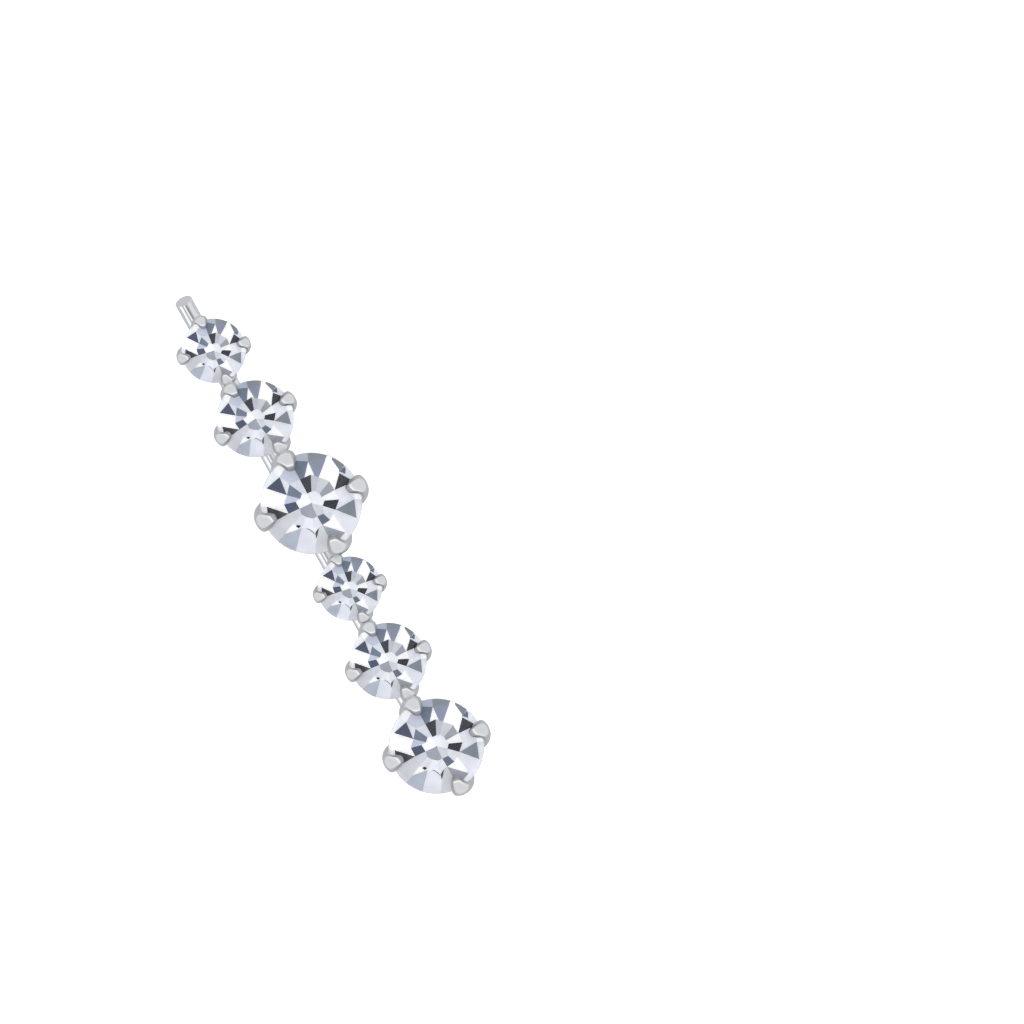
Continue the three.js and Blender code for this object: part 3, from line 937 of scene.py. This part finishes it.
def make_light(stage, axes):
    """Soft studio light before a white backdrop. It is even all round for the floor and the stones' facets;
    polished surfaces mirror a light wall in front, brighter panels round it and greyer ones at the row's
    two ends and behind."""
    along, _, front = axes
    world = bpy.data.worlds.new("studio")
    bpy.context.scene.world = world
    world.use_nodes = True
    tree = world.node_tree
    tree.nodes.clear()
    link = tree.links.new
    spot = add_node(tree, "ShaderNodeTexCoord", (-1400, 0))
    ahead = add_node(tree, "ShaderNodeVectorMath", (-1200, 100), operation="DOT_PRODUCT")
    set_inputs(ahead, {1: front})
    link(spot.outputs["Generated"], ahead.inputs[0])
    endways = add_node(tree, "ShaderNodeVectorMath", (-1200, -150), operation="DOT_PRODUCT")
    set_inputs(endways, {1: along})
    either_end = add_node(tree, "ShaderNodeMath", (-1050, -150), operation="ABSOLUTE")
    link(spot.outputs["Generated"], endways.inputs[0])
    link(endways.outputs["Value"], either_end.inputs[0])

    def eased_step(source, low, high, place):
        """A share that rises softly from 0 to 1 as the source goes from low to high."""
        step = add_node(tree, "ShaderNodeMapRange", place, interpolation_type="SMOOTHSTEP")
        set_inputs(step, {"From Min": low, "From Max": high})
        link(source, step.inputs["Value"])
        return step.outputs["Result"]

    def blended(share, first, second, place):
        """The first colour going over into the second by a share. Each is a colour or another node's."""
        mix = add_node(tree, "ShaderNodeMix", place, data_type="RGBA")
        link(share, mix.inputs[0])
        for socket, colour in ((mix.inputs[MIX_FIRST], first), (mix.inputs[MIX_SECOND], second)):
            if isinstance(colour, tuple):
                socket.default_value = (*colour, 1)
            else:
                link(colour, socket)
        return mix.outputs[MIX_RESULT]

    ends = eased_step(either_end.outputs[0], *END_EDGE, (-900, -150))
    sides = blended(ends, PANELS, GREY_WALLS, (-700, -150))
    ahead_of_back = eased_step(ahead.outputs["Value"], *BACK_EDGE, (-950, 100))
    walls = blended(ahead_of_back, GREY_WALLS, sides, (-450, 0))
    facing = eased_step(ahead.outputs["Value"], *FRONT_EDGE, (-950, 300))
    studio = blended(facing, walls, FRONT_WALL, (-250, 100))
    path = add_node(tree, "ShaderNodeLightPath", (-450, 500))
    straight = add_node(tree, "ShaderNodeMath", (-250, 400), operation="SUBTRACT")
    set_inputs(straight, {0: 1.0})
    mirrored = add_node(tree, "ShaderNodeMath", (-50, 400), operation="MULTIPLY")
    link(path.outputs["Is Transmission Ray"], straight.inputs[1])
    link(straight.outputs[0], mirrored.inputs[0])
    link(path.outputs["Is Glossy Ray"], mirrored.inputs[1])
    even = add_node(tree, "ShaderNodeBackground", (0, 200))
    set_inputs(even, {"Color": (stage.light, stage.light, stage.light, 1)})
    seen = add_node(tree, "ShaderNodeBackground", (0, 0))
    link(studio, seen.inputs["Color"])
    backdrop = add_node(tree, "ShaderNodeBackground", (250, 300))
    set_inputs(backdrop, {"Color": (1, 1, 1, 1)})
    either = add_node(tree, "ShaderNodeMixShader", (250, 100))
    viewed = add_node(tree, "ShaderNodeMixShader", (450, 200))
    put = add_node(tree, "ShaderNodeOutputWorld", (650, 200))
    link(mirrored.outputs[0], either.inputs[0])
    link(even.outputs[0], either.inputs[1])
    link(seen.outputs[0], either.inputs[2])
    link(path.outputs["Is Camera Ray"], viewed.inputs[0])
    link(either.outputs[0], viewed.inputs[1])
    link(backdrop.outputs[0], viewed.inputs[2])
    link(viewed.outputs[0], put.inputs["Surface"])
    world.cycles.sampling_method = "NONE"


def make_camera(stage, places, axes):
    """The camera, straight in front of the stones and rolled so that the row slants down to the right."""
    along, across, front = axes
    cos, sin = math.cos(stage.roll), math.sin(stage.roll)
    right = cos * along + sin * across
    above = cos * across - sin * along
    aim = places[2][0] + stage.aim_right * right - stage.aim_down * above
    data = bpy.data.cameras.new("camera")
    data.lens = stage.lens
    data.sensor_width = 36
    distance = stage.view_width * stage.lens / data.sensor_width
    data.clip_start = distance / 100
    data.clip_end = distance * 100
    camera = bpy.data.objects.new("camera", data)
    bpy.context.scene.collection.objects.link(camera)
    place = Matrix([Vector(right), Vector(above), Vector(front)]).transposed().to_4x4()
    place.translation = Vector(aim + distance * front)
    camera.matrix_world = place
    bpy.context.scene.camera = camera


# ------------------------------------------------------------------ the add-on

class CLIMBER_OT_stones(bpy.types.Operator):
    """Six cut stones, each with facets of painted reflections and shade inside a clear skin"""

    bl_idname = "climber.stones"
    bl_label = "Stones"

    def execute(self, context):
        make_finishes()
        places, axes = climber_places()
        for number, place in enumerate(places):
            make_stone(number, place, axes)
        return {"FINISHED"}


class CLIMBER_OT_settings(bpy.types.Operator):
    """Six four-claw settings"""

    bl_idname = "climber.settings"
    bl_label = "Settings"

    def execute(self, context):
        make_finishes()
        places, axes = climber_places()
        for number, place in enumerate(places):
            make_setting(number, place, axes)
        return {"FINISHED"}


class CLIMBER_OT_ear_wire(bpy.types.Operator):
    """The ear wire, from the lowest setting's back to its free end"""

    bl_idname = "climber.ear_wire"
    bl_label = "Ear wire"

    def execute(self, context):
        make_finishes()
        places, axes = climber_places()
        sizes = context.scene.climber_wire
        make_drawn("ear_wire", wire_path(places, axes), axes, sizes.wire, sizes.groove, WIRE_ROUND)
        return {"FINISHED"}


class CLIMBER_OT_rail(bpy.types.Operator):
    """The rail along the settings' backs"""

    bl_idname = "climber.rail"
    bl_label = "Rail"

    def execute(self, context):
        make_finishes()
        places, axes = climber_places()
        sizes = context.scene.climber_wire
        edge = sizes.rail * RAIL_ROUND
        make_drawn("rail", rail_path(places, axes), axes, sizes.rail, sizes.groove / 2, edge)
        return {"FINISHED"}


class CLIMBER_OT_stage(bpy.types.Operator):
    """Floor, soft light and camera"""

    bl_idname = "climber.stage"
    bl_label = "Stage"

    def execute(self, context):
        stage = context.scene.climber_stage
        places, axes = climber_places()
        make_floor(stage)
        make_light(stage, axes)
        make_camera(stage, places, axes)
        context.scene.view_settings.view_transform = "Standard"
        return {"FINISHED"}


class CLIMBER_PT_panel(bpy.types.Panel):
    """Sizes, colours and buttons of the ear climber"""

    bl_label = "Ear climber"
    bl_idname = "CLIMBER_PT_panel"
    bl_space_type = "VIEW_3D"
    bl_region_type = "UI"
    bl_category = "Climber"

    def draw(self, context):
        for group, kind in GROUPS.items():
            box = self.layout.box()
            for name in kind.__annotations__:
                box.prop(getattr(context.scene, group), name)
        for step in STEPS:
            self.layout.operator(step.bl_idname)


STEPS = (CLIMBER_OT_stage, CLIMBER_OT_stones, CLIMBER_OT_settings, CLIMBER_OT_rail, CLIMBER_OT_ear_wire)
CLASSES = (*GROUPS.values(), *STEPS, CLIMBER_PT_panel)


def register():
    for kind in CLASSES:
        bpy.utils.register_class(kind)
    for group, kind in GROUPS.items():
        setattr(bpy.types.Scene, group, PointerProperty(type=kind))


def unregister():
    for group in GROUPS:
        delattr(bpy.types.Scene, group)
    for kind in reversed(CLASSES):
        bpy.utils.unregister_class(kind)


def main():
    """Builds the climber."""
    register()
    for step in STEPS:
        family, name = step.bl_idname.split(".")
        getattr(getattr(bpy.ops, family), name)()


if __name__ == "__main__":
    main()
